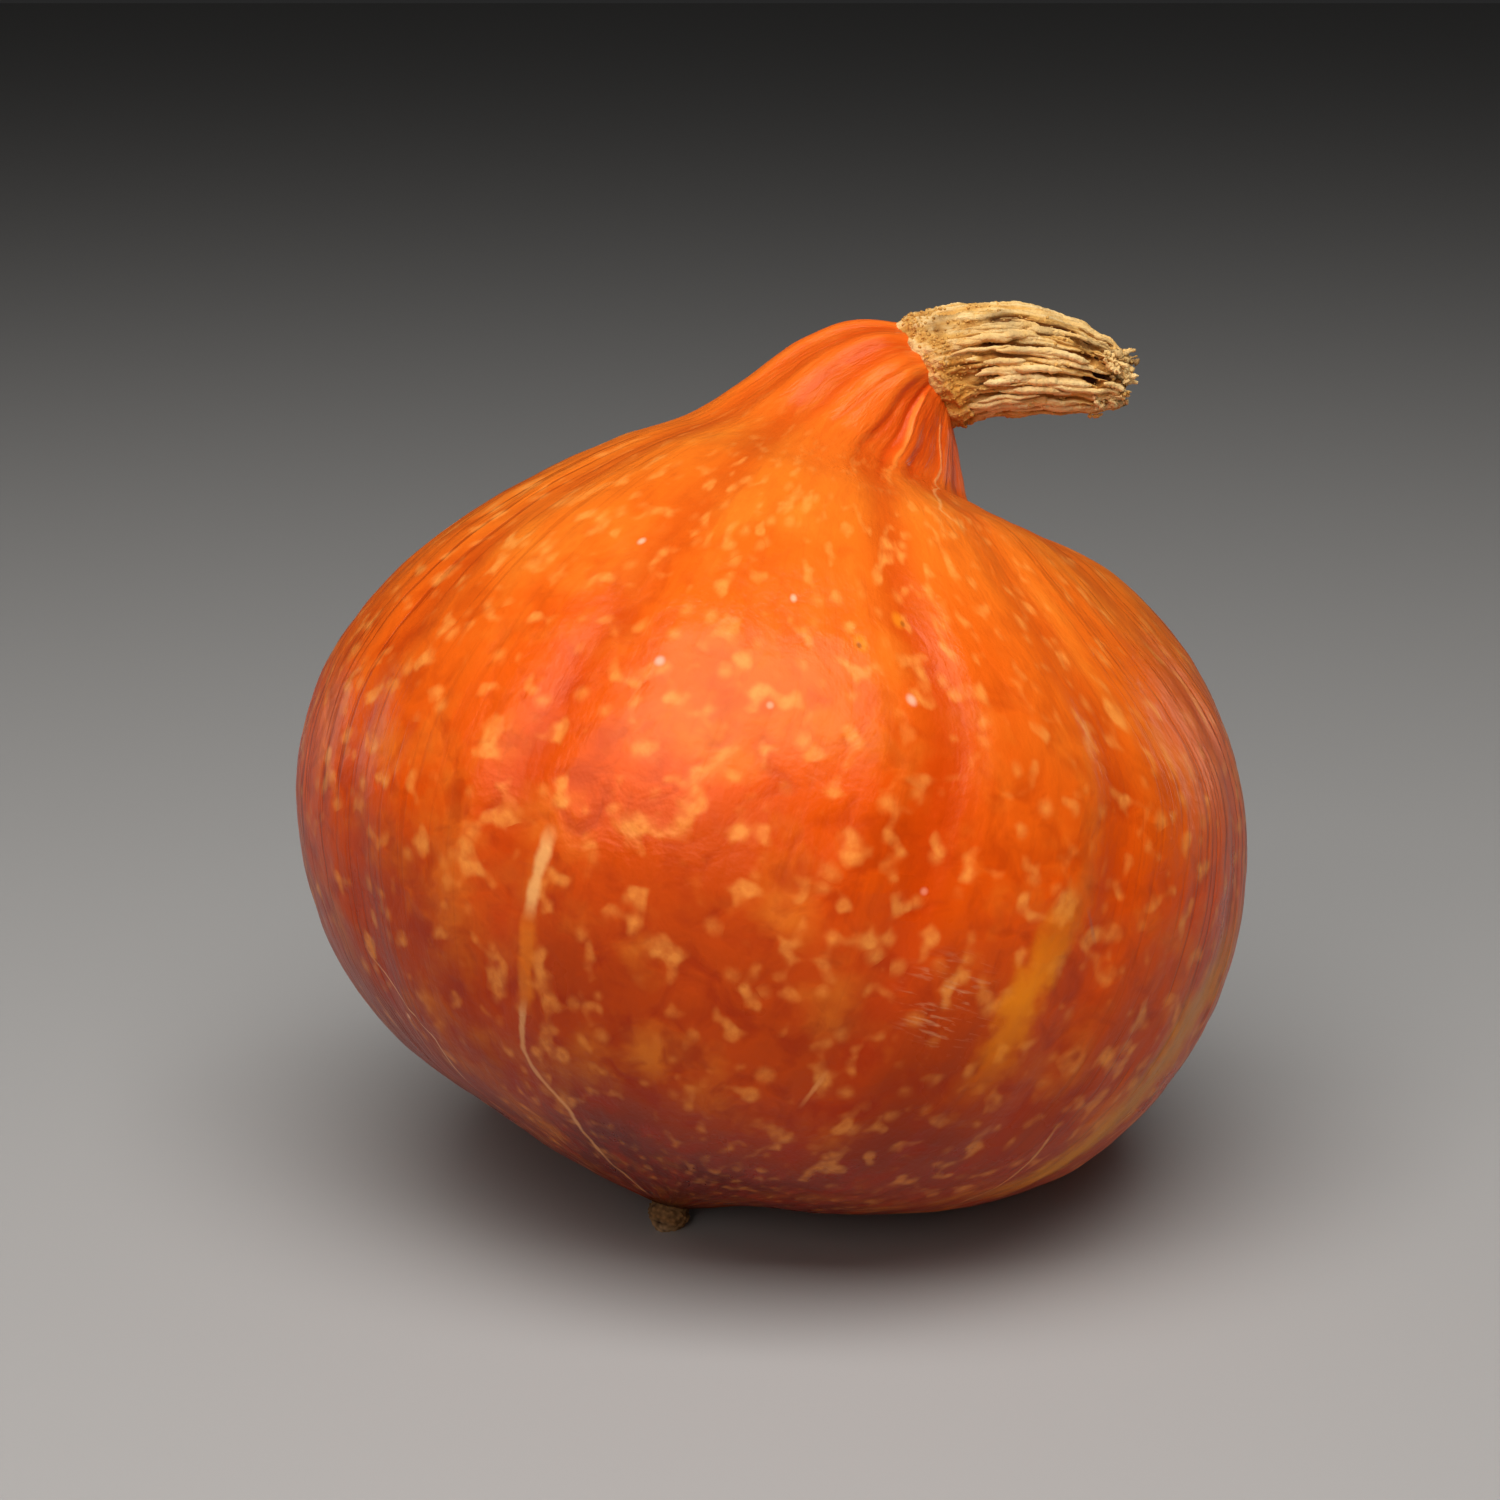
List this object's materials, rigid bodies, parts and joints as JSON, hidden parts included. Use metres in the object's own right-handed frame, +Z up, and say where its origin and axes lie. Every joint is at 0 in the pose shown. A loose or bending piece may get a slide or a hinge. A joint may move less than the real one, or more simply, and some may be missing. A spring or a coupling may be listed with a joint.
{
  "type": "red kuri pumpkin",
  "caption": "Whole onion-shaped orange winter squash with a crooked neck and a dry corky stem, lying on its belly.",
  "frame": {"origin": "centre of the bounding box on the surface that the pumpkin rests on", "axes": "+Z up from the resting surface, +X to the side that the neck and the stem bend to, -Y the side that shows the blossom end"},
  "size_m": [0.17, 0.1656, 0.1623],
  "materials": {
    "rind": "waxy rind, satin gloss",
    "stem_cork": "dry corky fibres, matte",
    "scar_cork": "dry rough scar, matte"
  },
  "bodies": {
    "root": {"fruit": "rind", "stem": "stem_cork", "blossom_end": "scar_cork"}
  },
  "joints": []
}
